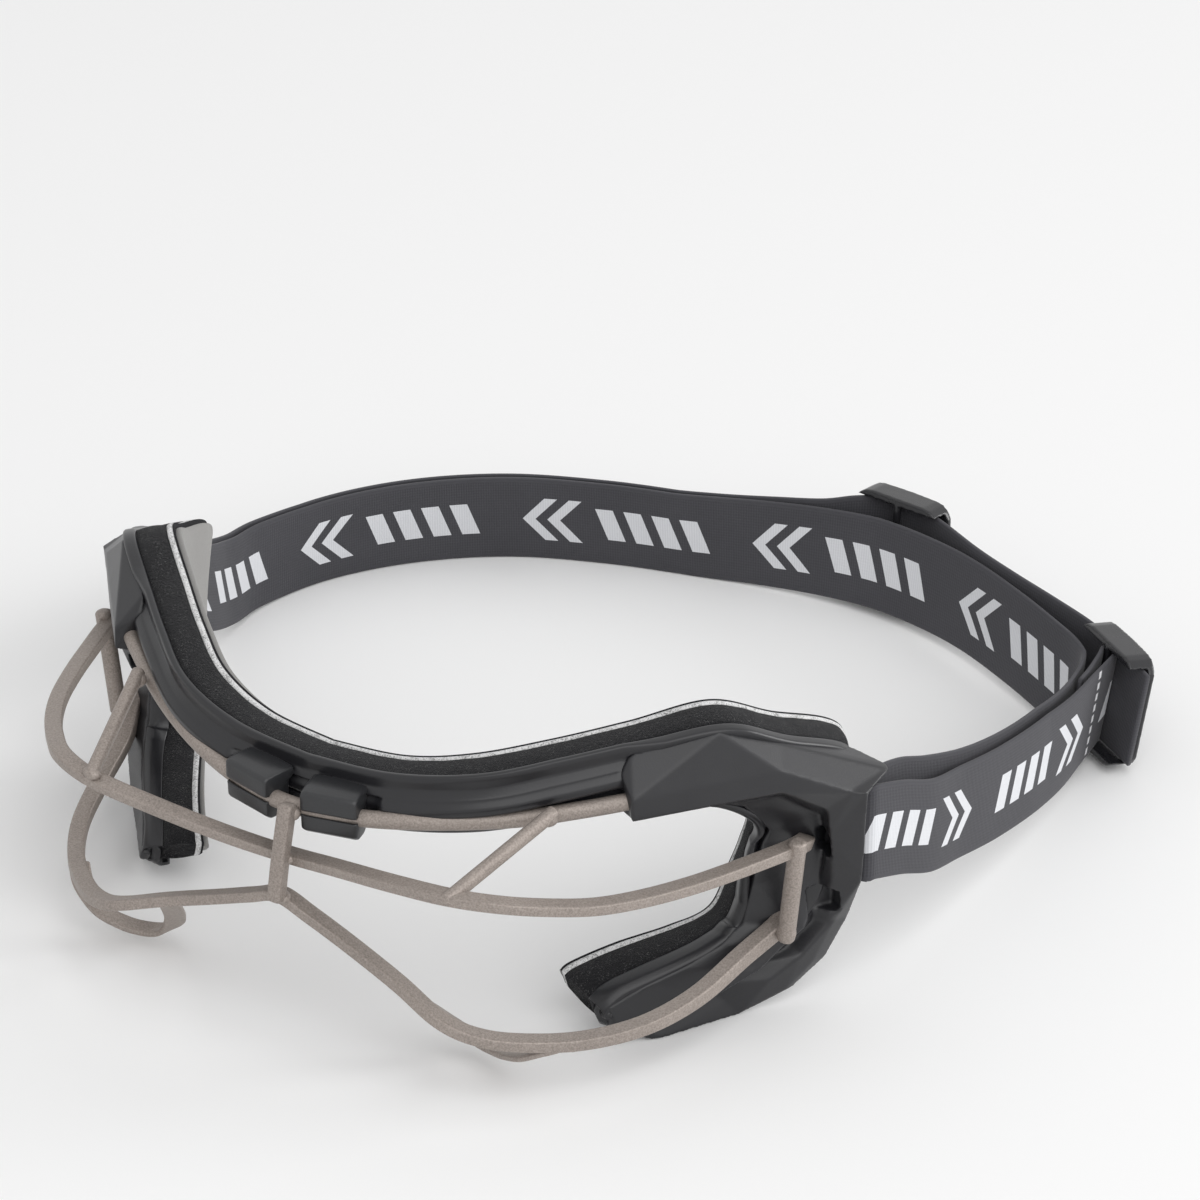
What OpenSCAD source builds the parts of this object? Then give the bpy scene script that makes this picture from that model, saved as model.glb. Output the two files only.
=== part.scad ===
// Lacrosse goggles: a wire cage in a moulded frame with a padded rim and an elastic strap.
// X is the wearer's left, Y runs back to the wearer's head, Z is up. The floor is at z = 0.
// The shapes are drawn about the wearer's own middle plane, then set over the middle of the object.

/* [Cage] */
// Thickness of the round top bar
wire_d = 3; // [2.6:0.1:3.2]
// Width of the bent strip of the middle and lower bars
strip_w = 3.6; // [3:0.1:4]
// Thickness of the bent strip
strip_t = 2.2; // [1.8:0.1:2.6]
// Thickness of the round braces
brace_d = 3; // [2.6:0.1:3.2]
// Width of the flat nose strut
strut_w = 3.6; // [3:0.1:4.2]

/* [Pad] */
// Thickness of the black foam
foam_t = 5.5; // [4.5:0.1:6]
// Thickness of the pale felt
felt_t = 1; // [0.8:0.1:1.4]
// Thickness of the dark backing under the face fabric
backing_t = 0.7; // [0.5:0.1:1]
// Thickness of the face fabric that touches the skin
face_t = 0.8; // [0.6:0.1:1]

/* [Frame] */
// Thickness of the rim that carries the pad
rim_t = 2.4; // [2:0.1:3]
// How far the brow rail stands in front of the rim
rail_reach = 2.8; // [2.4:0.1:3]
// How far the rail steps back behind the two clips
clip_step = 1.4; // [1.2:0.1:1.6]

/* [Strap] */
// Width of the elastic strap
strap_w = 19; // [18:0.5:20]
// Thickness of the elastic strap
strap_t = 1; // [0.9:0.1:1.1]
// Length of a strap slider along the strap
slider_l = 20; // [19:0.5:22]
// Diameter of the middle bar of a slider
slider_bar = 1.6; // [1.5:0.1:1.7]

/* [Hidden] */

// Middle of the whole object in the drawing's own place, with the floor under it
middle = [-1, 88.4, -4];

// Skin side of the pad, from the middle of the brow to the cheek tip: outer edge, then eye edge
rim_outer = [
    [0, 12, 46], [14, 13.2, 46.8], [26, 17, 49], [36, 24.6, 51], [46, 33.6, 53.2], [56, 43, 55.6],
    [62, 53, 50.2], [67.4, 67.6, 41.6], [68, 65.6, 31], [66.6, 60.6, 19], [62, 53, 9.5], [55, 43.5, 4.5],
    [47, 34.5, 2.4], [40.5, 27.5, 1.8], [38, 25.5, 3.5]
];
rim_eye = [
    [0, 11.5, 36], [14, 13, 37], [25, 17, 38.5], [35, 24, 40], [44, 32, 41], [52, 41, 41],
    [57, 47.5, 37], [58.6, 51, 31], [57.4, 51.3, 25], [55.6, 50.6, 19], [53.4, 47.9, 11.8],
    [49.2, 41.1, 10.3], [43.5, 32.8, 9.4], [38.6, 26.6, 7.4], [37.3, 25.2, 6]
];

// Centre lines of the cage, from the middle outwards
top_line = [
    [0, 0, 40.5], [12, 2.6, 40.8], [24, 7.4, 41.8], [36, 14.4, 42.6], [46, 21.4, 44],
    [54, 27.6, 45.2], [57.4, 30.8, 45.2]
];
middle_line = [
    [0, -1.9, 31.9], [12, -3.4, 33.6], [24, -5.2, 35.8], [36, -6.2, 37.8], [44.2, -4, 38],
    [50, 1.1, 36.6], [55.4, 7.6, 35], [60, 15.1, 34], [64, 24, 33], [67.3, 33, 32.2],
    [71, 44, 31.2], [72.8, 53, 28.8], [73.2, 57, 27.6]
];
lower_line = [
    [0, -3.6, 24.4], [6, -3.2, 22], [14, -3, 18.6], [24, -3.8, 15], [33, -5.2, 11.8],
    [39, -3.4, 9.6], [45, 0.6, 8.2], [52, 8.6, 7.4], [58.6, 17.6, 7.6], [62.6, 28, 9],
    [65.4, 39, 11.2], [68, 47.5, 14], [72, 53.2, 16.4], [74, 56.6, 17.4]
];
hoop_line = [
    [27, -3.4, 12.8], [28.6, 0.6, 8.4], [30.6, 4, 4.4], [32.6, 6.4, 0.8], [35, 7.4, -1],
    [38, 6.8, -1.2], [41, 5, 0.6], [43.4, 3, 3.6], [45, 1.4, 7]
];

// Faceted temple shell, from its front end round to the cheek. Each row is the place along the
// rim, then the shell's top edge, ridge, front edge and the floor of its recess
shell_rows = [
    [3.9, [49.6, 25, 49.1], [53, 22.9, 46.3], [53.1, 22.8, 42.3], [52, 24.6, 41.4]],
    [5.0, [61.3, 37, 54.9], [62.9, 34.5, 46.7], [63, 34.4, 42.7], [61.5, 36.4, 41.4]],
    [5.8, [67.6, 46.8, 49.7], [69.9, 42.9, 46.9], [70, 42.9, 42.8], [67.6, 46.8, 39.6]],
    [7.0, [79.2, 63.1, 39.9], [78, 52.6, 40.3], [74.2, 50.8, 36.8], [71.6, 53.6, 33.4]],
    [7.6, [79.9, 54.7, 39.8], [76.8, 54.4, 33.6], [74.6, 51.5, 31.4], [71.8, 54.6, 28.6]],
    [8.8, [79, 55.2, 21.8], [75.8, 53.5, 24.7], [74.2, 53.4, 21.1], [71.4, 54, 19]],
    [9.7, [74.4, 58.8, 10.6], [73.8, 55.4, 11.7], [73, 54.6, 11.4], [70, 54, 11.4]],
    [10.2, [71.7, 56.3, 3], [71, 52.9, 3.4], [70.4, 50.4, 6.1], [67.4, 51, 7.6]],
    [10.8, [68.7, 50.6, -1], [68.2, 48.7, -0.9], [67, 45.5, 2.6], [63.6, 44.6, 5]],
    [11.5, [63, 42.2, -4], [61.6, 41.4, -4], [61.2, 40.6, -1.1], [57.8, 38, 2.2]],
    [12.1, [55.4, 29, -4], [54, 27.6, -4], [53, 26.8, -1.9], [51.2, 28.6, 0.8]],
    [13.3, [46.4, 24.2, -1.2], [46.2, 23.6, -1.2], [46.9, 22.3, 0.3], [45.8, 22.6, 1.6]]
];

// The upright inside the shell that the strap turns round: its middle and its diameter
loop_bar_at = [77.6, 58.8];
loop_bar_d = 2;

// Route of the inner strap round the head, anticlockwise from the wearer's left temple: the foot
// of its centre line. Then the outer layers: the left one from the temple to its slider and back
// along itself for the sewn end, the right one from the left slider through the right slider to
// the right temple
inner_route = [
    [76.05, 58.8, 20.1], [76, 65, 19.4], [76.2, 72.9, 17], [77, 81, 13.4], [77.8, 92, 9.2],
    [78.2, 104, 5.8], [77.8, 117, 2.8], [76.4, 130, 0.2], [74, 140.6, -1.4], [71.6, 147.2, -1.8],
    [67.6, 151.8, -2.2], [61.8, 155.8, -2.4], [51.4, 161.8, -2.4], [39.2, 167.8, -2.4],
    [28.4, 171.2, -2.4], [16.4, 173, -2.4], [4.4, 173, -3], [-7.6, 171.4, -3.6],
    [-21.6, 168, -4], [-38.6, 163.2, -4], [-56.6, 155.4, -4], [-71.6, 143.2, -4],
    [-82.2, 128.4, -4], [-87, 113, -3.6], [-86, 102, -2], [-83, 91, 2.6], [-79.6, 79, 10],
    [-76.8, 68, 17.4], [-76.05, 58.8, 20.1]
];
outer_left_route = [
    [79.15, 58.8, 20.1], [79.9, 67.4, 16.6], [80.6, 77, 12], [80.2, 88, 8.6], [80.6, 101.4, 5.4],
    [80.4, 117, 2.4], [79, 130, 0], [77.4, 141, -0.9], [76.45, 149.6, -1.1]
];
sewn_end_route = [[73.75, 149.6, -0.9], [74.7, 146, -0.9], [75.6, 142, -0.9], [76.2, 138, -0.9]];
outer_right_route = [
    [85.23, 145.74, -1.45], [79.33, 149.64, -1.45], [73.53, 153.54, -1.45], [67.73, 157.54, -1.45],
    [58.6, 161.6, -1.4], [48.2, 165.8, -1.3], [38, 170.4, -1.25], [28, 175.9, -1.2],
    [22.2, 178.5, -1.2], [17.7, 179, -1.2], [13.2, 179.4, -1.2], [8.4, 177.2, -1.2],
    [3, 174.6, -2], [-6, 172.9, -3], [-14, 171.1, -3.6], [-22.1, 169.4, -4], [-39, 164.6, -4],
    [-57.4, 156.6, -4],
    [-72.8, 144.3, -4], [-83.7, 129, -4], [-88.7, 113.1, -3.6], [-87.9, 102, -2], [-85.4, 91, 2.6],
    [-82.4, 79, 10], [-79.9, 68, 17.4], [-79.15, 58.8, 20.1]
];

// Strap sliders: the middle of each, its turn about Z, and the height of the lower edge of both
slider_left_at = [75.1, 149.6];
slider_right_at = [17.5, 176.6];
slider_turn_left = -34;
slider_turn_right = -6;
slider_foot = -2.8;

function unit(v) = v / norm(v);
function mixed(a, b, t) = a + (b - a) * t;
function mirrored(p) = [-p.x, p.y, p.z];
function mean(ring) = [for (k = [0:2]) let (s = [for (p = ring) p[k]]) s * [for (p = ring) 1] / len(ring)];

// A smooth curve through the points p, at t spans from the first
function span(a, b, c, d, t) =
    0.5 * (2 * b + (c - a) * t + (2 * a - 5 * b + 4 * c - d) * t * t + (3 * b - a - 3 * c + d) * t * t * t);
function along(p, t) =
    let (last = len(p) - 1, i = min(floor(t), last - 1))
    span(p[max(i - 1, 0)], p[i], p[i + 1], p[min(i + 2, last)], t - i);
function smooth(p, steps) = [for (i = [0:(len(p) - 1) * steps]) along(p, i / steps)];
function both_sides(half) = [
    for (i = [len(half) - 1:-1:1]) mirrored(half[i]),
    each half
];
function heading(line, i) = unit(line[min(i + 1, len(line) - 1)] - line[max(i - 1, 0)]);

// A closed skin over rings of equal count, with a fan over each end
module skin(rings) {
    n = len(rings);
    m = len(rings[0]);
    points = [for (r = rings) each r, mean(rings[0]), mean(rings[n - 1])];
    sides = [
        for (i = [0:n - 2], j = [0:m - 1])
            let (a = i * m + j, b = i * m + (j + 1) % m, c = a + m, d = b + m)
            each [[a, b, d], [a, d, c]]
    ];
    start_fan = [for (j = [0:m - 1]) [n * m, (j + 1) % m, j]];
    end_fan = [for (j = [0:m - 1]) [n * m + 1, (n - 1) * m + j, (n - 1) * m + (j + 1) % m]];
    polyhedron(points, concat(sides, start_fan, end_fan), convexity = 8);
}

// A bar of the given section along a line, its second axis facing out from the head
head = [0, 60, 0];
function bar_ring(line, i, section) =
    let (
        p = line[i],
        t = heading(line, i),
        out = unit([p.x - head.x, p.y - head.y, 0]),
        wide = unit(cross(t, out)),
        face = cross(wide, t)
    )
    [for (s = section) p + s.x * wide + s.y * face];
module bar(line, section) {
    skin([for (i = [0:len(line) - 1]) bar_ring(line, i, section)]);
}
function round_section(d, n) = [for (i = [0:n - 1]) d / 2 * [cos(360 * i / n), sin(360 * i / n)]];
function strip_section(w, t, c) = [
    [w / 2, t / 2 - c], [w / 2 - c, t / 2], [-w / 2 + c, t / 2], [-w / 2, t / 2 - c],
    [-w / 2, -t / 2 + c], [-w / 2 + c, -t / 2], [w / 2 - c, -t / 2], [w / 2, -t / 2 + c]
];

// A round rod from a to b
module rod(a, b, d) {
    v = b - a;
    translate(a)
        rotate([0, acos(v.z / norm(v)), atan2(v.y, v.x)])
            cylinder(d = d, h = norm(v), $fn = 32);
}

// How far the pad and the rim stand out at the cheek
cheek_shift = 1.6;

// Rings round the rim, which faces outwards and a little down below the temple: h is measured from
// the eye edge towards the outer edge, v towards the front
function rim_at(t) =
    let (
        e = along(rim_eye, t),
        o = along(rim_outer, t),
        back = max(t - 0.1, 0),
        on = min(t + 0.1, len(rim_eye) - 1),
        run = along(rim_eye, on) + along(rim_outer, on) - along(rim_eye, back) - along(rim_outer, back),
        across = unit(o - e),
        lean = max(0, 1 - abs(t - 7.3) / 2),
        drop = max(0, min(1, (t - 8.6) / 2)),
        front = unit(unit(cross(run, across)) - lean * [0.3, 0.35, 0] + drop * [0.2, 0.25, -0.35])
    )
    [e + drop * cheek_shift * front, across, front, norm(o - e)];
// The cheek tip is cut off at a slant, so that the front of the rim ends before its back
tip_slant = [0.24, 0.18, 0];
function at_rim(t, x, y, slant = tip_slant) =
    let (r = rim_at(t))
    r[0] + x * r[1] + y * r[2] + max(0, y) * max(0, t - 12.5) * slant;
function rim_ring(t, shape, slant) = [for (q = shape) at_rim(t, q.x, q.y, slant)];
rim_steps = 3;
rim_end = len(rim_eye) - 1;
function rim_width(t) = rim_at(t)[3];

function plate(t, v0, v1, inset = 0) = [
    [inset, v0], [rim_width(t) - inset, v0], [rim_width(t) - inset, v1], [inset, v1]
];
function foam_shape(t) = let (w = rim_width(t)) [
    [0.1, 0], [w - 0.1, 0], [w + 0.2, foam_t * 0.3], [w + 0.2, foam_t * 0.7], [w - 0.1, foam_t],
    [0.1, foam_t], [-0.2, foam_t * 0.7], [-0.2, foam_t * 0.3]
];

// Section of the frame: a shallow channel with a lip at the temple and cheek, a sloped rail at the brow
function frame_shape(t) =
    let (
        w = rim_width(t),
        b = foam_t,
        f = foam_t + rim_t,
        floor = f - 0.4,
        brow = max(0, min(1, (4.3 - t) / 0.5)),
        rail = foam_t + rail_reach - (t < 0.95 ? clip_step : 0)
    )
    [for (pair = [
        [[0, b], [0, b]],
        [[w, b], [w, b]],
        [[w + 0.4, b + 0.4], [w + 0.9, b + 0.4]],
        [[w + 0.4, f - 0.4], [w + 0.9, b + 1.4]],
        [[w, f], [w, b + 1.6]],
        [[w * 0.8, floor], [w - 1.8, b + 1.4]],
        [[w * 0.66, floor], [w - 3.2, b + 2.4]],
        [[w * 0.52, floor], [w - 3.4, rail]],
        [[w * 0.4, floor], [w - 4.4, rail + 1]],
        [[w * 0.3, floor], [w - 5.8, rail + 1]],
        [[2.2, floor], [w - 6.6, rail]],
        [[1.6, f + 1], [w - 6.4, b + 2.2]],
        [[0.7, f + 1.1], [1, b + 1.9]],
        [[0, f + 0.2], [0, b + 1.4]]
    ]) mixed(pair[0], pair[1], brow)];

function rim_layer_rings(shape_at, slant = tip_slant) = [
    for (i = [rim_end * rim_steps:-1:-rim_end * rim_steps])
        let (t = abs(i) / rim_steps, ring = rim_ring(t, shape_at(t), slant))
        i < 0 ? [for (p = ring) mirrored(p)] : ring
];

module in_place() {
    translate(-middle) children();
}
module left_and_right(side) {
    mirror([side < 0 ? 1 : 0, 0, 0]) children();
}

module frame() {
    color([0.13, 0.13, 0.14]) in_place() skin(rim_layer_rings(function(t) frame_shape(t)));
}

// The shell is joined up from convex pieces, two between each pair of rows: the wall with its facets,
// and the floor of the recess that the cage's ends go into. Both are rooted in the front of the rim
shell_t = 2.6;
function shell_thick(t) = t > 13 ? shell_t / 2 : shell_t;
slot_h = strip_w + 1.2;
function shell_wall(row) =
    let (
        r = rim_at(row[0]),
        f = foam_t + rim_t,
        level = unit([r[2].x, r[2].y, 0]),
        root = row[0] < 6.5 ? r[0] + (r[3] - 0.8) * r[1] + (f - 0.8) * r[2]
            : row[0] < 9 ? r[0] + (r[3] + 0.8) * r[1] + (f - 1.6) * r[2]
            : row[4] - shell_thick(row[0]) * r[2]
    )
    [row[1], row[2], row[3], row[4], row[4] - shell_thick(row[0]) * r[2], row[1] - 1.6 * level, root];
function shell_floor(row) =
    let (
        r = rim_at(row[0]),
        f = foam_t + rim_t,
        w = row[0] < 9 ? r[3] * 0.6 : r[3] + 0.5,
        place = function(across, ahead) at_rim(row[0], across, ahead)
    )
    [
        row[4], row[4] - shell_thick(row[0]) * r[2], place(r[3] * 0.14, f + 1.2),
        place(r[3] * 0.12, f - 0.8), place(w, f + 1.2), place(w, f - 1.6)
    ];
function pad_space(t) = let (w = rim_width(t)) [
    [-1, -4], [w + 1, -4], [w + 1, 0], [w + 1, foam_t + 0.3], [-1, foam_t + 0.3], [-1, 0]
];
module hull_of(points) {
    hull()
        polyhedron(points, [[for (i = [0:len(points) - 1]) i]]);
}
module temple_shell(side) {
    color([0.17, 0.17, 0.18]) in_place() left_and_right(side) {
        difference() {
            for (i = [0:len(shell_rows) - 2]) {
                hull_of(concat(shell_wall(shell_rows[i]), shell_wall(shell_rows[i + 1])));
                hull_of(concat(shell_floor(shell_rows[i]), shell_floor(shell_rows[i + 1])));
            }
            // Pocket that the strap comes out of
            translate([0, 0, 19.9])
                linear_extrude(19.5)
                    polygon([[75.1, 56.3], [79.9, 56.3], [86, 60], [86, 76], [75.1, 76]]);
            // Slots that the ends of the middle and lower bars sit in
            translate([72.6, 54.6, 28.4]) cube([3.4, 5.6, slot_h], center = true);
            translate([72.2, 53.6, 16.4]) rotate([0, 0, -35]) cube([3.4, 5.6, slot_h], center = true);
            // The pad behind the rim
            skin(rim_layer_rings(function(t) pad_space(t), [0, 0, 0]));
        }
        translate([loop_bar_at.x, loop_bar_at.y, 19.4]) cylinder(d = loop_bar_d, h = 20.6, $fn = 24);
    }
}

module pad_foam() {
    color([0.09, 0.09, 0.1]) in_place() skin(rim_layer_rings(function(t) foam_shape(t)));
}
module pad_felt() {
    color([0.82, 0.82, 0.82]) in_place() skin(rim_layer_rings(function(t) plate(t, -felt_t, 0)));
}
module pad_backing() {
    color([0.1, 0.1, 0.11]) in_place()
        skin(rim_layer_rings(function(t) plate(t, -felt_t - backing_t, -felt_t, 0.3)));
}
module pad_face() {
    back = felt_t + backing_t;
    color([0.57, 0.56, 0.56]) in_place()
        skin(rim_layer_rings(function(t) plate(t, -back - face_t, -back, 0.3)));
}

cage_colour = [0.63, 0.58, 0.55];
module cage_top_bar() {
    color(cage_colour) in_place() bar(smooth(both_sides(top_line), 4), round_section(wire_d, 10));
}
module cage_middle_bar() {
    color(cage_colour) in_place()
        bar(smooth(both_sides(middle_line), 3), strip_section(strip_w, strip_t, 0.7));
}
module cage_lower_bar() {
    color(cage_colour) in_place()
        bar(smooth(both_sides(lower_line), 3), strip_section(strip_w, strip_t, 0.7));
}
module nose_strut() {
    color(cage_colour) in_place()
        skin([for (p = [[0, -2.9, 42.3], [0, -4.6, 33], [0, -6.2, 23]])
            [for (s = strip_section(strut_w, 3, 0.8)) p + [s.x, s.y, 0]]]);
}
module brace(side) {
    color(cage_colour) in_place() left_and_right(side) rod([42.6, 16, 45.2], [36.2, -5.8, 37.6], brace_d);
}
module end_strut(side) {
    color(cage_colour) in_place() left_and_right(side) rod([72.6, 44.4, 33.6], [70.6, 44.6, 13.2], brace_d);
}
module cheek_hoop(side) {
    color(cage_colour) in_place() left_and_right(side)
        skin([for (i = [0:len(smooth(hoop_line, 2)) - 1])
            let (
                line = smooth(hoop_line, 2),
                t = heading(line, i),
                wide = unit([t.y, -t.x, 0]),
                face = cross(wide, t)
            )
            [for (s = strip_section(3.4, 1.6, 0.5)) line[i] + s.x * wide + s.y * face]]);
}

// A snap clip: it sits over the rail, holds the top bar from behind and is open to the front
module brow_clip(side) {
    width = 8.8;
    hold = wire_d / 2 + 0.05;
    color([0.12, 0.12, 0.13]) in_place() left_and_right(side)
        translate([7.3, 1.15, 40.6])
            rotate([0, 0, 13])
                rotate([90, 0, 90])
                    translate([0, 0, -width / 2])
                        linear_extrude(width)
                            difference() {
                                polygon([
                                    [-1.4, 1.1], [-1.9, 1.2], [-1.6, 2.6], [0.4, 3.9], [4.2, 4.4], [4.4, 3.2],
                                    [3.2, 2.2], [3, -2.9], [1.7, -3.7], [-1.1, -3.3], [-1.5, -1.4], [0, -1]
                                ]);
                                circle(r = hold, $fn = 32);
                            }
}

// How far the strap's top edge stands out from its foot: it leans out at the sliders, in at the right
// of the back, and stands upright near the shells
function part_of(v) = max(0, min(1, v));
function lean_at(p) =
    let (
        rise = part_of((p.y - (p.x > 0 ? 122 : 98)) / 26),
        reach = mixed(-2, 2.2, part_of((p.x + 25) / 40)) + max(0, p.x - 17) / 72
    )
    rise * reach * unit([0.815 * p.x, p.y - 60, 0]);

// The strap is a band on edge: each ring is its foot, its height and its thickness
function band_ring(route, i) =
    let (
        foot = [route[i].x, route[i].y, max(route[i].z, middle.z)],
        t = heading(route, i),
        out = unit([t.y, -t.x, 0]),
        lean = lean_at(foot),
        tall = sqrt(strap_w * strap_w - lean * lean),
        up = [0, 0, 1] + lean / tall
    )
    [for (s = [[0, -1], [0, 1], [1, 1], [1, -1]])
        foot + lean / tall * (foot.z - slider_foot) + s.x * tall * up + s.y * strap_t / 2 * out];
module band(route) {
    skin([for (i = [0:len(route) - 1]) band_ring(route, i)]);
}
strap_colour = [0.2, 0.2, 0.21];
strap_steps = 3;
loop_r = loop_bar_d / 2 + strap_t / 2 + 0.05;
function turned(at, r, from, to, feet) = [
    for (k = [0:6])
        let (a = mixed(from, to, k / 6))
        [at.x + r * cos(a), at.y + r * sin(a), mixed(feet[0], feet[1], k / 6)]
];
function after_first(line) = [for (i = [1:len(line) - 1]) line[i]];
function inside(line) = [for (i = [1:len(line) - 2]) line[i]];
loop_foot = outer_left_route[0].z;
outer_left_line = concat(
    turned(loop_bar_at, loop_r, -180, 0, [loop_foot, loop_foot]),
    inside(smooth(outer_left_route, strap_steps)),
    turned(slider_left_at, slider_bar / 2 + strap_t / 2 + 0.05, 0, 180,
        [outer_left_route[len(outer_left_route) - 1].z, sewn_end_route[0].z]),
    after_first(smooth(sewn_end_route, strap_steps))
);
outer_right_line = concat(
    smooth(outer_right_route, strap_steps),
    after_first(turned([-loop_bar_at.x, loop_bar_at.y], loop_r, 180, 360, [loop_foot, loop_foot]))
);
module strap_inner() {
    color(strap_colour) in_place() band(smooth(inner_route, strap_steps));
}
module strap_outer_left() {
    color(strap_colour) in_place() band(outer_left_line);
}
module strap_outer_right() {
    color(strap_colour) in_place() band(outer_right_line);
}

// A slider: a plate with a window and rounded corners outside the threaded layer, its rails above and
// below the strap, and a middle bar on the inside
slider_rail = 1.5;
slider_plate = [4.2, 1.4];
slider_corner = 4;
slider_tall = strap_w + 0.6 + 2 * slider_rail;
threaded_at = slider_bar / 2 + strap_t * 1.5 + 0.1;
plate_at = threaded_at + strap_t / 2 + 0.2 + slider_plate.y / 2;
module rounded(points, d) {
    hull()
        for (p = points)
            translate(p) circle(d = d, $fn = 16);
}
module strap_slider(at, turn) {
    end = (slider_l - slider_plate.y) / 2;
    inner = slider_l / 2 - slider_plate.x + slider_plate.y / 2;
    corner_at = [slider_l / 2 - slider_corner, slider_tall / 2 - slider_corner];
    color([0.1, 0.1, 0.11]) in_place()
        translate([at.x, at.y, slider_foot])
            rotate([-asin(norm(lean_at(at)) / strap_w), 0, turn]) {
                intersection() {
                    union() {
                        for (z = [0, slider_tall - slider_rail])
                            translate([0, 0, z])
                                linear_extrude(slider_rail)
                                    rounded([[-end, 0], [end, 0], [end, plate_at], [0, plate_at + 0.4],
                                        [-end, plate_at]], slider_plate.y);
                        linear_extrude(slider_tall)
                            for (side = [-1, 1])
                                rounded([[side * end, plate_at], [side * inner, plate_at + 0.2]],
                                    slider_plate.y);
                    }
                    translate([0, 10, slider_tall / 2])
                        rotate([90, 0, 0])
                            linear_extrude(20)
                                rounded([for (x = [-1, 1], z = [-1, 1]) [x * corner_at.x, z * corner_at.y]],
                                    2 * slider_corner);
                }
                cylinder(d = slider_bar, h = slider_tall, $fn = 24);
            }
}

frame();
temple_shell(1);  // temple_shell_left
temple_shell(-1);  // temple_shell_right
pad_foam();
pad_felt();
pad_backing();
pad_face();
cage_top_bar();
cage_middle_bar();
cage_lower_bar();
nose_strut();
brace(1);  // brace_left
brace(-1);  // brace_right
end_strut(1);  // end_strut_left
end_strut(-1);  // end_strut_right
cheek_hoop(1);  // cheek_hoop_left
cheek_hoop(-1);  // cheek_hoop_right
brow_clip(1);  // brow_clip_left
brow_clip(-1);  // brow_clip_right
strap_inner();
strap_outer_left();
strap_outer_right();
strap_slider(slider_left_at, slider_turn_left);  // strap_slider_left
strap_slider(slider_right_at, slider_turn_right);  // strap_slider_right
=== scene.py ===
# %% [markdown]
# # Lacrosse goggles
# A wire cage in a moulded frame, with a padded rim and an elastic strap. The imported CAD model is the
# frame that everything here is built on: each piece is computed in the drawing's own millimetres and
# then set in the model's place, so that nothing has to be fitted by eye.

# %% The frame that the pieces are built on
import math

import bmesh
import bpy
import numpy as np
from mathutils import Matrix


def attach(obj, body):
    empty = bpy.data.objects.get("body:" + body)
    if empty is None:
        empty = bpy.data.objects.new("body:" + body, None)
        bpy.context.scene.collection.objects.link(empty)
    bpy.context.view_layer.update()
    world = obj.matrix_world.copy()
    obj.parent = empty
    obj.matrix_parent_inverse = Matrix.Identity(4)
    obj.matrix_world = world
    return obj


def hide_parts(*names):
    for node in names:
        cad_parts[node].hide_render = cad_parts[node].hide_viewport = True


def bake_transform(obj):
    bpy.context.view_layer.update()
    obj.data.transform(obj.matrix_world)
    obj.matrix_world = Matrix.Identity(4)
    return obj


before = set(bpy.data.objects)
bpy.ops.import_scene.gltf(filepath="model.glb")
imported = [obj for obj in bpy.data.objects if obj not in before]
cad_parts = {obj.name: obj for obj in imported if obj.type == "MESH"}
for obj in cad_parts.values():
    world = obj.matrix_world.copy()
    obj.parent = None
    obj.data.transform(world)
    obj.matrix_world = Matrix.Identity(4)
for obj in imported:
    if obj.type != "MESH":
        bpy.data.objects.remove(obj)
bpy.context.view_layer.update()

# The drawing is about the wearer's own middle plane, in millimetres; the model's origin is under
# the middle of the whole object.
MIDDLE = np.array([-1.0, 88.4, -4.0])


def to_model(points):
    """Points of the drawing in millimetres, as points of the model in metres."""
    return (np.asarray(points, float) - MIDDLE) / 1000


def set_axes(obj, x, y, z, at):
    """Stands an object at a point in metres, with its own axes along the unit vectors x, y and z."""
    obj.matrix_world = Matrix([[x[i], y[i], z[i], at[i]] for i in range(3)] + [[0, 0, 0, 1]])


# %% [markdown]
# ## The camera
# The photographed view is a long lens from the wearer's front left, looking down by thirty degrees.
# The camera's three axes follow from those two angles, and its place from how far it stands off. A
# Track To constraint could aim it as well, but three vectors also say which way the picture's sides go.

# %% Camera
AZIMUTH, ELEVATION = math.radians(31.9), math.radians(30.1)
BRIDGE = np.array([0, 0, 40.8])
ASIDE, ABOVE, STAND_OFF = 51.8, 33.6, 814.3
SENSOR_MM, FOCAL_PX, PHOTO_PX = 36, 4886, 1200
right = np.array([math.cos(AZIMUTH), math.sin(AZIMUTH), 0.0])
away = np.array([
    math.sin(AZIMUTH) * math.cos(ELEVATION), -math.cos(AZIMUTH) * math.cos(ELEVATION), math.sin(ELEVATION)
])
upward = np.cross(away, right)
stand = to_model(BRIDGE + ASIDE * right + ABOVE * upward + STAND_OFF * away)
camera = bpy.data.objects.new("camera", bpy.data.cameras.new("camera"))
bpy.context.collection.objects.link(camera)
camera.data.lens = SENSOR_MM * FOCAL_PX / PHOTO_PX
camera.data.clip_start, camera.data.clip_end = 0.01, 20
set_axes(camera, right, upward, away, stand)
bpy.context.scene.camera = camera
print("camera stands at", np.round(stand, 3))

# %% [markdown]
# ## Surfaces from grids
# Nearly every piece is a section carried along a line. A curve object with a bevel does that too, but
# its section rolls as the curve turns in space. Here the section's own two axes are chosen at each
# point, and one function turns the grid of points into a closed mesh: the section runs round the
# piece, the line runs along it, and a fan closes each end.

# %% A closed piece from rings
def mesh_piece(name, points, faces):
    """A smooth object from an array of points in metres and a list of faces."""
    mesh = bpy.data.meshes.new(name)
    mesh.from_pydata(points, [], faces)
    mesh.validate()
    mesh.polygons.foreach_set("use_smooth", [True] * len(mesh.polygons))
    mesh.update()
    obj = bpy.data.objects.new(name, mesh)
    bpy.context.collection.objects.link(obj)
    return obj


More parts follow.
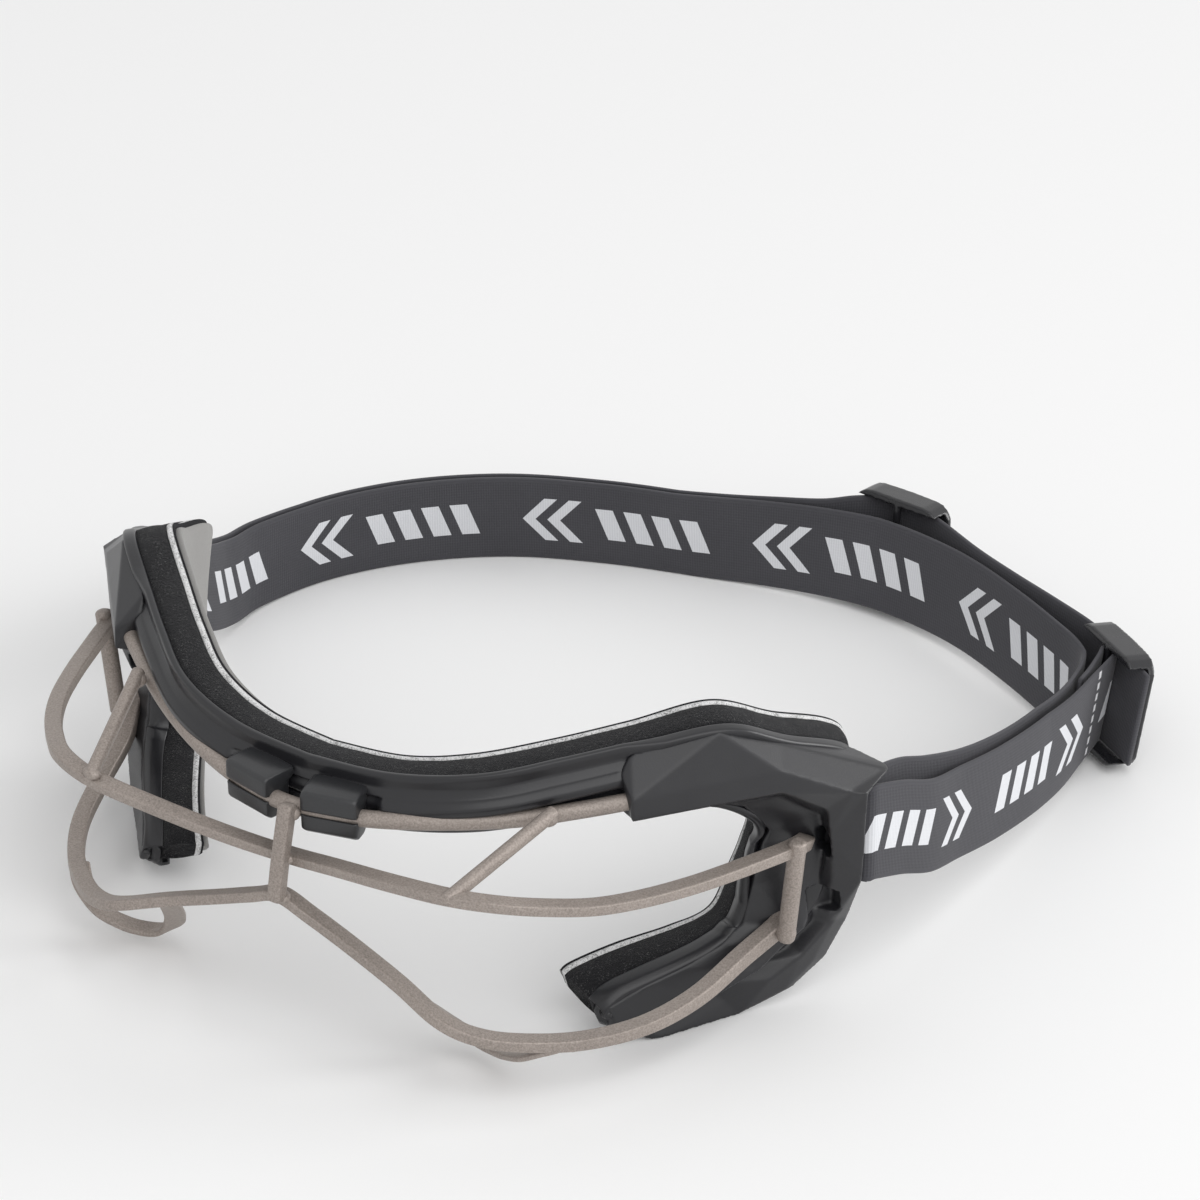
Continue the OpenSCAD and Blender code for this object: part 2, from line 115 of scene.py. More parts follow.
def ring_faces(n, m):
    """Quads between n rings of m points, and a fan of triangles from an end point over each end."""
    i, j = np.meshgrid(np.arange(n - 1), np.arange(m), indexing="ij")
    a, b = i * m + j, i * m + (j + 1) % m
    quads = np.stack([a, b, b + m, a + m], -1).reshape(-1, 4)
    k = np.arange(m)
    first = np.stack([np.full(m, n * m), (k + 1) % m, k], -1)
    last = np.stack([np.full(m, n * m + 1), (n - 1) * m + k, (n - 1) * m + (k + 1) % m], -1)
    return quads.tolist() + first.tolist() + last.tolist()


def tube_piece(name, rings):
    """A closed skin over rings, an array of shape (n, m, 3) in the drawing's millimetres."""
    n, m = rings.shape[:2]
    ends = np.stack([rings[0].mean(0), rings[-1].mean(0)])
    points = to_model(np.concatenate([rings.reshape(-1, 3), ends]))
    return mesh_piece(name, points, ring_faces(n, m))


def face_out(obj):
    """Turns the faces outwards where a mirrored or reversed grid has them inside out: the volume, the
    sum of a . (b x c) / 6 over the triangles, is negative there."""
    mesh = obj.data
    corners = np.empty(len(mesh.vertices) * 3)
    mesh.vertices.foreach_get("co", corners)
    corners = corners.reshape(-1, 3)
    mesh.calc_loop_triangles()
    t = np.empty(len(mesh.loop_triangles) * 3, int)
    mesh.loop_triangles.foreach_get("vertices", t)
    a, b, c = (corners[t.reshape(-1, 3)[:, k]] for k in range(3))
    volume = np.einsum("ij,ij->i", a, np.cross(b, c)).sum() / 6
    if volume < 0:
        mesh.flip_normals()
    print(f"{obj.name}: {len(t) // 3} triangles, {abs(volume) * 1e9:.0f} mm3")
    return obj


# %% Smooth lines
def unit(v):
    """Each vector divided by its own length."""
    return v / np.linalg.norm(v, axis=-1, keepdims=True)


def along(points, t):
    """Catmull-Rom curve through points at t spans from the first: a cubic in each span whose slope
    at a point is half the step between that point's two neighbours."""
    p = np.asarray(points, float)
    last = len(p) - 1
    t = np.asarray(t, float)
    i = np.clip(np.floor(t).astype(int), 0, last - 1)
    a, b, c, d = (p[np.clip(i + k, 0, last)] for k in (-1, 0, 1, 2))
    s = (t - i)[..., None]
    return 0.5 * (
        2 * b + (c - a) * s + (2 * a - 5 * b + 4 * c - d) * s ** 2 + (3 * b - a - 3 * c + d) * s ** 3
    )


def smooth_line(points, steps):
    """The curve through points, with so many steps to a span."""
    return along(points, np.linspace(0, len(points) - 1, (len(points) - 1) * steps + 1))


def both_sides(half):
    """A line from the middle outwards, mirrored and joined to itself."""
    half = np.asarray(half, float)
    return np.concatenate([half[:0:-1] * [-1, 1, 1], half])


def directions(line):
    """The unit direction at each point, from its neighbours on both sides."""
    ahead = np.concatenate([line[1:], line[-1:]])
    behind = np.concatenate([line[:1], line[:-1]])
    return unit(ahead - behind)


# %% [markdown]
# ## Finishes as expressions
# A material is a small formula. Its nodes could be added and wired one by one, at three lines for each.
# The class below wraps a shader socket instead and lets Python's own operators add the Math nodes, so a
# worn edge or a woven rib reads like the sum that it is.

# %% Sockets with operators
class Value:
    """A socket that carries a number over the surface; sums of Values add Math nodes."""

    def __init__(self, finish, socket):
        self.finish, self.socket = finish, socket

    def math(self, operation, *numbers, clamp=False):
        settings = {"operation": operation, "use_clamp": clamp}
        return self.finish.node("ShaderNodeMath", settings, dict(enumerate(numbers)))

    def __add__(self, other):
        return self.math("ADD", self, other)

    def __sub__(self, other):
        return self.math("SUBTRACT", self, other)

    def __rsub__(self, other):
        return self.math("SUBTRACT", other, self)

    def __mul__(self, other):
        return self.math("MULTIPLY", self, other)

    def __truediv__(self, other):
        return self.math("DIVIDE", self, other)

    def __lt__(self, other):
        return self.math("LESS_THAN", self, other)

    def __gt__(self, other):
        return self.math("GREATER_THAN", self, other)

    __radd__, __rmul__ = __add__, __mul__

    def sin(self):
        return self.math("SINE", self)

    def abs(self):
        return self.math("ABSOLUTE", self)

    def cycle(self, period):
        """The remainder after whole periods, from 0 to 1."""
        return self.math("FRACT", self / period)

    def edge(self, at, width):
        """Rises smoothly from 0 to 1 as the value passes at, over the given width."""
        return self.finish.node(
            "ShaderNodeMapRange", {"interpolation_type": "SMOOTHSTEP"},
            {0: self, 1: at - width / 2, 2: at + width / 2, 3: 0.0, 4: 1.0},
        )

    def either(self, other):
        return self.math("MAXIMUM", self, other)

    def clip(self):
        """Held between 0 and 1."""
        return self.math("ADD", self, 0.0, clamp=True)


def rgba(grey_or_rgb):
    """A colour for a socket, from a grey or from red, green and blue, in linear light."""
    c = (grey_or_rgb,) * 3 if isinstance(grey_or_rgb, (int, float)) else grey_or_rgb
    return (*c, 1.0)


class Finish:
    """A material with one Principled shader, built up by node() and closed by surface()."""

    def __init__(self, name, **constants):
        self.material = bpy.data.materials.new(name)
        self.material.use_nodes = True
        self.tree = self.material.node_tree
        self.shader = self.tree.nodes["Principled BSDF"]
        for key, value in constants.items():
            self.shader.inputs[key.replace("_", " ")].default_value = value

    def node(self, kind, settings, inputs, output=0):
        """One node: its settings first, then values or links for its sockets."""
        made = self.tree.nodes.new(kind)
        for key, value in settings.items():
            setattr(made, key, value)
        for key, value in inputs.items():
            if isinstance(value, Value):
                self.tree.links.new(value.socket, made.inputs[key])
            else:
                made.inputs[key].default_value = value
        return Value(self, made.outputs[output])

    def place(self):
        """Where a point is in its own object's space, in metres."""
        return self.node("ShaderNodeTexCoord", {}, {}, "Object")

    def attribute(self, name):
        """A number that was stored on the points of the mesh."""
        return self.node("ShaderNodeAttribute", {"attribute_name": name}, {}, "Fac")

    def noise(self, size_mm, detail=3.0, roughness=0.55):
        """Cloudy noise whose lumps are about size_mm across."""
        scale = 1000 / size_mm
        inputs = {"Vector": self.place(), "Scale": scale, "Detail": detail, "Roughness": roughness}
        return self.node("ShaderNodeTexNoise", {}, inputs)

    def mix(self, factor, a, b):
        """The colour a where factor is 0, and b where it is 1. Either is a grey, a colour or a link."""
        a, b = (c if isinstance(c, Value) else rgba(c) for c in (a, b))
        return self.node("ShaderNodeMix", {"data_type": "RGBA"}, {0: factor, 6: a, 7: b}, 2)

    def surface(self, colour, roughness, height, depth_mm):
        """Links the colour, the roughness, and a bump as deep as depth_mm where height goes from 0 to 1."""
        inputs = {"Strength": 1.0, "Distance": depth_mm / 1000, "Height": height}
        normal = self.node("ShaderNodeBump", {}, inputs)
        for socket, value in (("Base Color", colour), ("Roughness", roughness), ("Normal", normal)):
            self.tree.links.new(value.socket, self.shader.inputs[socket])

    def dress(self, *objs):
        """Puts the finish on each object, in place of what it had."""
        for obj in objs:
            if len(obj.material_slots) == 0:
                obj.data.materials.append(self.material)
            for material_slot in obj.material_slots:
                material_slot.material = self.material


# %% [markdown]
# ## The cage
# The cage is bent from steel: a round top bar, and two bars of flat strip. Welded across them are the
# nose strut, the braces, the end struts and the small hoops that keep the ball off the cheeks. All of it
# is powder coated in a warm grey with a fine metallic grain. An image could give that grain, but a fine
# noise that tints, roughens and lifts the coat together stays sharp at every distance.

# %% The cage's finish
cage_finish = Finish("powder_coat", Metallic=0.3, Specular_IOR_Level=0.5)
grain = cage_finish.noise(0.34, 2.0, 0.65)
drift = cage_finish.noise(14, 2.0)
tone = (grain - 0.5) * 1.6 + drift * 0.4 + 0.28
coat_colour = cage_finish.mix(tone.clip(), (0.19, 0.162, 0.144), (0.43, 0.374, 0.336))
cage_finish.surface(coat_colour, grain * 0.25 + 0.34, height=grain, depth_mm=0.045)

# %% Lines of the cage
# Points of each bar on the wearer's left, from the middle outwards, in the drawing's millimetres
TOP = [
    [0, 0, 40.4], [12, 2.4, 40.4], [24, 7.1, 41.1], [36, 14.1, 41.9], [46, 21.2, 43.5],
    [54, 27.5, 45], [57.4, 30.8, 45.2],
]
MIDDLE_BAR = [
    [0, -1.9, 31.9], [12, -3.4, 33.6], [24, -5.2, 35.8], [36, -6.2, 37.8], [44.2, -4, 38],
    [50, 1.1, 36.6], [55.4, 7.6, 35], [60, 15.1, 34], [64, 24, 33], [67.3, 33, 32.2],
    [70.6, 43, 31.4], [71.2, 47.5, 30.6], [69.8, 51.5, 28.6], [67.6, 54.5, 26.4],
]
# The far half of the middle bar hangs a little lower than the near half, as a hand-bent bar does
SAG = [-0.3, -1.0, -1.2, -1.3, -0.8, -0.3] + [0.0] * (len(MIDDLE_BAR) - 6)
LOWER = [
    [0, -3.6, 24.4], [6, -3.2, 22], [14, -3, 18.6], [24, -3.8, 15], [33, -5.2, 11.8],
    [39, -3.4, 9.6], [45, 0.6, 8.2], [52.5, 7.8, 7.1], [58.8, 17.2, 6.9], [62.8, 27.8, 8],
    [65.4, 39, 10.9], [67.8, 45.5, 13.6], [68.6, 49.5, 15.4], [67.4, 53.5, 16.4],
]
HOOP = [
    [24, -3.2, 14], [25.4, -0.4, 10.6], [27.4, 2.8, 6.6], [29.8, 5.4, 2.8], [32.6, 6.8, 0],
    [36, 6.4, -1], [40, 4.8, -0.2], [44, 3.4, 2], [48, 4.0, 5.2], [50.8, 6.4, 7.1],
]
# The bars face out from this point in the middle of the head
HEAD = np.array([0, 60, 0.0])

# %% Sections carried along a line
CUT_ANGLES = [math.radians(angle) for angle in (30, 60, 80)]
CUT_REACH, CUT_SHRINK = 0.5, 0.6
GROWTH_POWER = 2.4


def rounded_section(width, thick, power, count=24):
    """A superellipse: |x / a| ** power + |y / b| ** power = 1, round at 2 and squarer above it."""
    a = np.linspace(0, 2 * np.pi, count, endpoint=False)
    c, s = np.cos(a), np.sin(a)
    return np.stack([
        width / 2 * np.sign(c) * np.abs(c) ** (2 / power), thick / 2 * np.sign(s) * np.abs(s) ** (2 / power)
    ], -1)


def sweep(line, wide, face, section):
    """Rings of the section on the axes wide and face at each point of the line. Three more rings round
    the cut at either end: each is CUT_REACH * sin(a) further on, and is drawn in by the share
    CUT_SHRINK * (1 - cos(a))."""
    rings = line[:, None] + section[None, :, :1] * wide[:, None] + section[None, :, 1:] * face[:, None]
    direction = directions(line)
    for end, sign in ((0, -1), (-1, 1)):
        caps = np.array([
            line[end] + sign * CUT_REACH * math.sin(a) * direction[end]
            + (rings[end] - line[end]) * (1 - (1 - math.cos(a)) * CUT_SHRINK)
            for a in CUT_ANGLES
        ])
        rings = np.concatenate([caps[::-1], rings] if end == 0 else [rings, caps])
    return rings


def bar_rings(line, section, taller):
    """A bar whose second axis faces out from the head, as a hand-bent cage bar does. Its first axis
    grows from 1 in the middle to taller at the ends, by a power of the distance from the middle."""
    t = directions(line)
    out = line - HEAD
    out[:, 2] = 0
    upright = unit(np.cross(t, unit(out)))
    growth = 1 + (taller - 1) * np.abs(np.linspace(-1, 1, len(line))[:, None]) ** GROWTH_POWER
    return sweep(line, upright * growth, np.cross(upright, t), section)


# %% The three bars
WIRE, STRIP_TALL, STRIP_DEEP = 3, 1.9, 3.1
wire = rounded_section(WIRE, WIRE, power=2)
strip = rounded_section(STRIP_TALL, STRIP_DEEP, power=8, count=40)
middle_points = both_sides(MIDDLE_BAR)
middle_points[:len(MIDDLE_BAR), 2] += SAG[::-1]
cage = []
for name, points, steps, section, taller in (
    ("top_bar", both_sides(TOP), 10, wire, 1.0),
    ("middle_bar", middle_points, 8, strip, 1.25),
    ("lower_bar", both_sides(LOWER), 8, strip, 1.9),
):
    cage.append(tube_piece(name, bar_rings(smooth_line(points, steps), section, taller)))
    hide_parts(f"cage_{name}")

# %% Strut, braces, end struts and hoops
NOSE_STRUT, STRUT_WIDE, STRUT_THICK = [[1.7, -2.9, 42.0], [1.2, -4.6, 33], [0.9, -5.9, 25.1]], 2.7, 2.5
BRACE, BRACE_THICK = ([42.4, 15.4, 44.6], [36.1, -7.1, 37.8]), 2.4
END_STRUT, END_STRUT_THICK = ([72.4, 44.4, 32.9], [70.4, 44.6, 13]), 3
HOOP_WIDE, HOOP_THICK = 3.8, 1.2
# By hand, the left hoop was bent a little higher than the right one
HOOP_BOW = {"left": 1.9, "right": -0.3}
BOW_START = -0.54
SIDES = ((1, "left"), (-1, "right"))


def strut_rings():
    """The nose strut: a flat strip bent a little at the middle bar."""
    line = smooth_line(NOSE_STRUT, 8)
    t = directions(line)
    wide = np.tile([1.0, 0, 0], (len(line), 1))
    section = rounded_section(STRUT_WIDE, STRUT_THICK, power=5, count=40)
    return sweep(line, wide, np.cross(wide, t), section)


def rod_rings(ends, thick):
    """A straight rod between two points, a little squarer than round."""
    line = np.linspace(*ends, 12).astype(float)
    t = directions(line)
    level = unit(np.cross(t, [0, 0, 1.0]) + [1e-9, 0, 0])
    return sweep(line, level, np.cross(level, t), rounded_section(thick, thick, power=2.3))


def hoop_rings(bow):
    """The cheek hoop: its strip stands on edge, so its wide axis is level and square to the line. Over
    the outer two thirds it is raised by bow times half a sine."""
    line = smooth_line(HOOP, 8)
    arch = np.sin(np.pi * np.clip(np.linspace(BOW_START, 1, len(line)), 0, 1))
    line[:, 2] += arch * bow
    t = directions(line)
    wide = unit(np.stack([t[:, 1], -t[:, 0], np.zeros(len(t))], -1))
    section = rounded_section(HOOP_WIDE, HOOP_THICK, power=4, count=32)
    return sweep(line, wide, np.cross(wide, t), section)


strut = tube_piece("nose_strut_bar", strut_rings())
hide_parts("nose_strut")
cage.append(strut)
for side, label in SIDES:
    for name, rings in (
        ("brace", rod_rings(BRACE, BRACE_THICK)),
        ("end_strut", rod_rings(END_STRUT, END_STRUT_THICK)),
        ("cheek_hoop", hoop_rings(HOOP_BOW[label])),
    ):
        piece = tube_piece(f"{name}_{label}_bar", rings * [side, 1, 1])
        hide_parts(f"{name}_{label}")
        cage.append(piece)

# %% [markdown]
# Where two bars cross they are welded, and under the coating each weld is a soft swelling. Joining the
# bars with a Boolean would give a sharp seam instead. A squashed sphere with a little waviness, sunk
# into both bars, gives the fillet that the light catches.

# %% Welds
NEAR_POLE = 0.12
# Each weld's place and its three radii: WELDS are on both sides, NOSE_WELDS on the nose strut
WELDS = [
    ([42, 14.6, 43.7], (1.5, 1.5, 1.4)), ([36.2, -6.7, 37.9], (1.8, 1.2, 1.1)),
    ([71.9, 44.9, 31.4], (1.8, 1.7, 1.6)), ([70.3, 45.0, 14.0], (1.8, 1.7, 1.6)),
    ([24.2, -3.4, 14.4], (1.7, 1.3, 1.1)), ([51.4, 6.9, 6.4], (1.6, 1.6, 0.9)),
]
NOSE_WELDS = [
    ([1.6, -2.0, 40.4], (1.8, 1.4, 1.5)), ([1.2, -3.2, 32], (1.8, 1.5, 1.1)),
    ([1, -4.5, 24.8], (1.8, 1.4, 1.0)),
]


def bead_rings(at, size, seed):
    """A ball of radii size about at: radius times 1 + 0.06 sin(3 a + seed) round its axis."""
    u = np.linspace(NEAR_POLE, np.pi - NEAR_POLE, 14)[:, None]
    a = np.linspace(0, 2 * np.pi, 24, endpoint=False)[None]
    r = 1 + 0.06 * np.sin(3 * a + seed)
    ball = np.stack([np.sin(u) * np.cos(a) * r, np.sin(u) * np.sin(a) * r, np.cos(u) + 0 * a], -1)
    return np.asarray(at, float) + ball * np.asarray(size, float)


for k, (at, size) in enumerate(WELDS):
    for side, label in SIDES:
        cage.append(tube_piece(f"weld_{k}_{label}", bead_rings(at, size, k) * [side, 1, 1]))
for k, (at, size) in enumerate(NOSE_WELDS):
    cage.append(tube_piece(f"nose_weld_{k}", bead_rings(at, size, k + 1.5)))
for piece in cage:
    face_out(piece)
    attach(piece, "goggles")
cage_finish.dress(*cage)

# %% [markdown]
# ## The rim
# The frame, the foam and the layers on it all follow one rim, which runs over the brow, down the temple
# and forward along the cheek. Each could be modelled as a piece of its own, but then they would meet
# only by luck. Here each place on the rim has an eye edge, a direction across it, a direction to the
# front and a width, and every layer is a section drawn in those two directions.

# %% The rim's own directions
# Points of both edges on the wearer's left, from the brow's middle to the cheek's tip
OUTER = [
    [0, 12, 46], [14, 13.2, 46.8], [26, 17, 49], [36, 24.6, 51], [46, 33.6, 53.2], [56, 43, 55.6],
    [62, 53, 50.2], [67.4, 67.6, 41.6], [68, 65.6, 31], [66.6, 60.6, 19], [62, 53, 9.5], [55, 43.5, 4.5],
    [47, 34.5, 2.4], [40.5, 27.5, 1.8], [38, 25.5, 3.5],
]
EYE = [
    [0, 11.5, 36], [14, 13, 37], [25, 17, 38.5], [35, 24, 40], [44, 32, 41], [52, 41, 41],
    [57, 47.5, 37], [58.6, 51, 31], [57.4, 51.3, 25], [55.6, 50.6, 19], [53.4, 47.9, 11.8],
    [49.2, 41.1, 10.3], [43.5, 32.8, 9.4], [38.6, 26.6, 7.4], [37.3, 25.2, 6],
]
RIM_END = len(EYE) - 1
# Places on the rim, counted in points from the brow's middle, and what happens to its front there
TEMPLE_AT, CHEEK_AT, TURN_SPAN = 7.3, 8.6, 2
TEMPLE_LEAN, CHEEK_TURN, CHEEK_SHIFT = [0.3, 0.35, 0], [0.2, 0.25, -0.35], 1.6
TIP_AT, TIP_SLANT = 12.5, [0.24, 0.18, 0]


def rim(t):
    """Eye edge, across, front and width of the rim at each place t of one half. Round the temple the
    front leans outwards, and along the cheek it turns down and stands a little further out."""
    t = np.asarray(t, float)
    eye, outer = along(EYE, t), along(OUTER, t)
    back, on = np.maximum(t - 0.1, 0), np.minimum(t + 0.1, RIM_END)
    run = along(EYE, on) + along(OUTER, on) - along(EYE, back) - along(OUTER, back)
    across = unit(outer - eye)
    lean = np.maximum(0, 1 - np.abs(t - TEMPLE_AT) / TURN_SPAN)[:, None]
    drop = np.clip((t - CHEEK_AT) / TURN_SPAN, 0, 1)[:, None]
    front = unit(unit(np.cross(run, across)) - lean * TEMPLE_LEAN + drop * CHEEK_TURN)
    return eye + drop * CHEEK_SHIFT * front, across, front, np.linalg.norm(outer - eye, axis=1)


# %% The rim on both sides
RIM_STEPS = 24
places = np.abs(np.arange(RIM_END * RIM_STEPS, -RIM_END * RIM_STEPS - 1, -1)) / RIM_STEPS
mirrored = np.arange(len(places)) > RIM_END * RIM_STEPS
eye, across, front, width = rim(places)
print("rim:", len(places), "sections, width from", width.min().round(1), "to", width.max().round(1), "mm")


def rim_rings(section):
    """Rings of a section of shape (places, m, 2), its first number across the rim from the eye edge
    and its second towards the front, the far half mirrored. The cheek tip is cut off at a slant."""
    rings = eye[:, None] + section[..., :1] * across[:, None] + section[..., 1:] * front[:, None]
    rings += np.maximum(0, section[..., 1:]) * np.maximum(0, places - TIP_AT)[:, None, None] * TIP_SLANT
    rings[mirrored] *= [-1, 1, 1]
    return rings


def softened(section, reach):
    """Each corner of a closed section becomes three points: a step towards either neighbour, at most
    a third of the way, and between them a point drawn halfway in."""
    before, after = np.roll(section, 1, axis=-2), np.roll(section, -1, axis=-2)

    def step(towards):
        gap = towards - section
        length = np.linalg.norm(gap, axis=-1, keepdims=True) + 1e-9
        return section + gap * np.minimum(reach / length, 0.33)

    a, b = step(before), step(after)
    return np.stack([a, section * 0.5 + (a + b) * 0.25, b], -2).reshape(*section.shape[:-2], -1, 2)


# %% [markdown]
# The moulded frame has a flat back that carries the pad. Its front is a sloped rail over the brow, with
# a channel behind it, and below the temples it turns into a flat rim with a lip round the eye. Both
# shapes have the same number of corners, so that one can be blended into the other along the rim,
# where two separate meshes would need a seam.

# %% The moulded frame
FOAM, FRAME_T, RAIL, BRIDGE_DIP = 5.5, 2.4, 2.8, 1.4
BRIDGE_END, BRIDGE_BLEND = 1.0, 0.1
BROW_END, BROW_BLEND = 4.3, 0.5


def frame_section(t, w):
    """The corners of the frame's section, blended from the temple's and cheek's to the brow's."""
    b, f = FOAM, FOAM + FRAME_T
    rail = b + RAIL - BRIDGE_DIP * np.clip((BRIDGE_END - t) / BRIDGE_BLEND, 0, 1)
    o = np.zeros_like(w)
    bed = o + f - 0.4
    low = [(o, o + b), (w, o + b), (w + 0.4, o + b + 0.4), (w + 0.4, bed), (w, o + f), (w * 0.8, bed),
           (w * 0.66, bed), (w * 0.52, bed), (w * 0.4, bed), (w * 0.3, bed), (o + 2.2, bed),
           (o + 1.6, o + f + 1), (o + 0.7, o + f + 1.1), (o, o + f + 0.2)]
    high = [(o, o + b), (w, o + b), (w + 0.9, o + b + 0.4), (w + 0.9, o + b + 1.4), (w, o + b + 1.6),
            (w - 1.8, o + b + 1.4), (w - 3.2, o + b + 2.4), (w - 3.4, rail), (w - 4.4, rail + 1),
            (w - 5.8, rail + 1), (w - 6.6, rail), (w - 6.4, o + b + 2.2), (o + 1, o + b + 1.9),
            (o, o + b + 1.4)]
    low, high = (np.stack([np.stack(q, -1) for q in shape], 1) for shape in (low, high))
    brow = np.clip((BROW_END - t) / BROW_BLEND, 0, 1)[:, None, None]
    return low + (high - low) * brow


frame_piece = face_out(tube_piece("moulded_frame", rim_rings(softened(frame_section(places, width), 0.35))))
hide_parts("frame")
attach(frame_piece, "goggles")

# %% [markdown]
# The frame's plastic is a semi-gloss black. One even roughness would look like no real thing, so a slow
# noise makes it duller in places, as handling does, and a fine noise gives it a skin.

# %% The frame's finish
frame_finish = Finish("semi_gloss_moulding", Specular_IOR_Level=0.5)
skin_noise = frame_finish.noise(0.5, 3.0)
handling = frame_finish.noise(18, 3.0)
frame_colour = frame_finish.mix(handling, (0.008, 0.008, 0.0095), (0.018, 0.018, 0.021))
frame_finish.surface(frame_colour, handling * 0.18 + 0.24, height=skin_noise, depth_mm=0.02)
frame_finish.dress(frame_piece)

# %% [markdown]
# ## The pad
# The pad is a laminate: black foam on the frame, a pale felt, a dark backing and the grey fabric that
# touches the skin. Foam under a cut edge bulges a little, so its two sides are crowned and its outline
# waves by tenths of a millimetre. A cloth simulation has nothing to fold here, so all four layers are
# made by formula. The cloth layers are thin, follow the foam and show only as edges from the front,
# and as one broad face from behind.

# %% Sections and measures of the pad
FOAM_RIPPLE, RIPPLE_PITCH = 0.18, 2.2
# The cloth is cut this much longer than the middle line of the rim
CLOTH_EASE = 1.02


def layer_section(w, low, high, inset, bulge):
    """A flat layer between low and high whose two edges stand out as half a sine."""
    rise = np.linspace(0, 1, 7)
    v, out = low + (high - low) * rise, bulge * np.sin(np.pi * rise)
    w = w[:, None]
    level = 0 * w
    inner = inset + (w - 2 * inset) * np.linspace(0.08, 0.92, 9)
    eye_side = np.stack([inset - out + level, v + level], -1)
    outer_side = np.stack([w - inset + out, v + level], -1)[:, ::-1]
    top, bottom = (np.stack([inner, 0 * inner + edge], -1) for edge in (high, low))
    return np.concatenate([eye_side, top, outer_side, bottom[:, ::-1]], 1)


def ripple(rings, size, pitch):
    """Moves each point by up to size millimetres along a sum of sines of its place, as foam does that
    was cut and glued by hand."""
    p = rings / pitch
    lift = np.sin(2.1 * p[..., 0] + 1.3 * p[..., 2]) + np.sin(1.7 * p[..., 1] - 2.3 * p[..., 2] + 1)
    return rings + size / 2 * lift[..., None] * np.array([0.2, 0.2, 0.3])


def sheet_size(face):
    """Width, length and area in metres of a layer's face, an array of shape (places, 2, 3) laid out
    flat: its quads are two triangles each, half a cross product in area."""
    a, b, c, d = face[:-1, 0], face[1:, 0], face[1:, 1], face[:-1, 1]
    near, far = np.cross(b - a, c - a), np.cross(c - a, d - a)
    area = 0.5 * (np.linalg.norm(near, axis=1) + np.linalg.norm(far, axis=1))
    length = np.linalg.norm(np.diff(face.mean(1), axis=0), axis=1).sum()
    return width.max() / 1000, length / 1000, area.sum() / 1e6


# %% Layers of the pad
pad = {}
for name, node, slot_name, low, high, inset, bulge in (
    ("foam_layer", "pad_foam", "foam", 0.02, 5.46, 0.1, 0.32),
    ("felt_layer", "pad_felt", "felt", -1.05, -0.02, 0.05, 0.2),
    ("backing_layer", "pad_backing", "backing", -1.45, -1.07, 0, 0.05),
    ("face_layer", "pad_face", "face_fabric", -2.5, -1.47, 1.0, 0.1),
):
    rings = rim_rings(layer_section(width, low, high, inset, bulge))
    if name == "foam_layer":
        rings = ripple(rings, FOAM_RIPPLE, RIPPLE_PITCH)
    piece = face_out(tube_piece(name, rings))
    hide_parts(node)
    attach(piece, "goggles")
    pad[name] = piece
    if name == "foam_layer":
        continue
    edges = [np.stack([side_edge, 0 * width + low], -1) for side_edge in (0 * width, width)]
    w_flat, l_flat, area = sheet_size(rim_rings(np.stack(edges, 1)))
    l_flat * CLOTH_EASE
    print(f"{name}: {w_flat * 1000:.0f} x {l_flat * 1000:.0f} mm, {area * 1e4:.0f} cm2")

# %% [markdown]
# Foam is a dull black full of cut cells, with a few specks of lint. The felt is a tangle of pale and
# dark fibres, the backing a fine nap, and the face fabric a short pile. Each is one noise at the size of
# its own cells or fibres, which drives colour, roughness and bump, so that the three always agree.

# %% Foam, felt and cloth finishes
foam_finish = Finish("black_foam", Sheen_Weight=0.1, Sheen_Roughness=0.5, Specular_IOR_Level=0.12)
cells = foam_finish.noise(0.5, 5.0, 0.75)
clumps = foam_finish.noise(3.5, 3.0)
lint = foam_finish.noise(0.24, 2.0).edge(0.62, 0.08) * foam_finish.noise(2.2, 3.0).edge(0.45, 0.3)
foam_dark = foam_finish.mix(cells * 0.7 + clumps * 0.3, (0.003, 0.003, 0.0036), (0.02, 0.02, 0.023))
foam_colour = foam_finish.mix(lint * 0.55, foam_dark, 0.16)
foam_finish.surface(foam_colour, cells * 0.2 + 0.8, height=cells, depth_mm=0.55)
foam_finish.dress(pad["foam_layer"])

felt_finish = Finish("pale_felt", Sheen_Weight=0.3, Specular_IOR_Level=0.2)
fibres = felt_finish.noise(0.32, 5.0, 0.75)
pulled = felt_finish.noise(2.4, 4.0, 0.7)
felt_colour = felt_finish.mix((fibres * 0.75 + pulled * 0.35).edge(0.5, 0.2), 0.22, 0.9)
felt_finish.surface(felt_colour, fibres * 0.2 + 0.75, height=fibres, depth_mm=0.4)
felt_finish.dress(pad["felt_layer"])

backing_finish = Finish("dark_backing", Specular_IOR_Level=0.2)
nap = backing_finish.noise(0.3, 4.0, 0.7)
backing_colour = backing_finish.mix(nap, (0.006, 0.006, 0.007), (0.028, 0.028, 0.031))
backing_finish.surface(backing_colour, nap * 0.2 + 0.75, height=nap, depth_mm=0.15)
backing_finish.dress(pad["backing_layer"])

face_finish = Finish("grey_face_fabric", Sheen_Weight=0.15, Specular_IOR_Level=0.3)
pile = face_finish.noise(0.4, 4.0, 0.7)
patches = face_finish.noise(9, 3.0)
face_colour = face_finish.mix(pile * 0.6 + patches * 0.4, (0.22, 0.215, 0.208), (0.33, 0.323, 0.312))
face_finish.surface(face_colour, pile * 0.15 + 0.75, height=pile, depth_mm=0.12)
face_finish.dress(pad["face_layer"])

# %% [markdown]
# ## Moulded pieces
# The temple shells and the sliders are plain solids in the CAD model, with sharp edges. A mould never
# gives a sharp edge. A Bevel modifier would round them too, but it stumbles over the loose triangles
# that a CAD mesh is made of. So a copy of each is remeshed into small even quads and relaxed, which
# rounds every edge by a few tenths of a millimetre and keeps the flat facets flat.

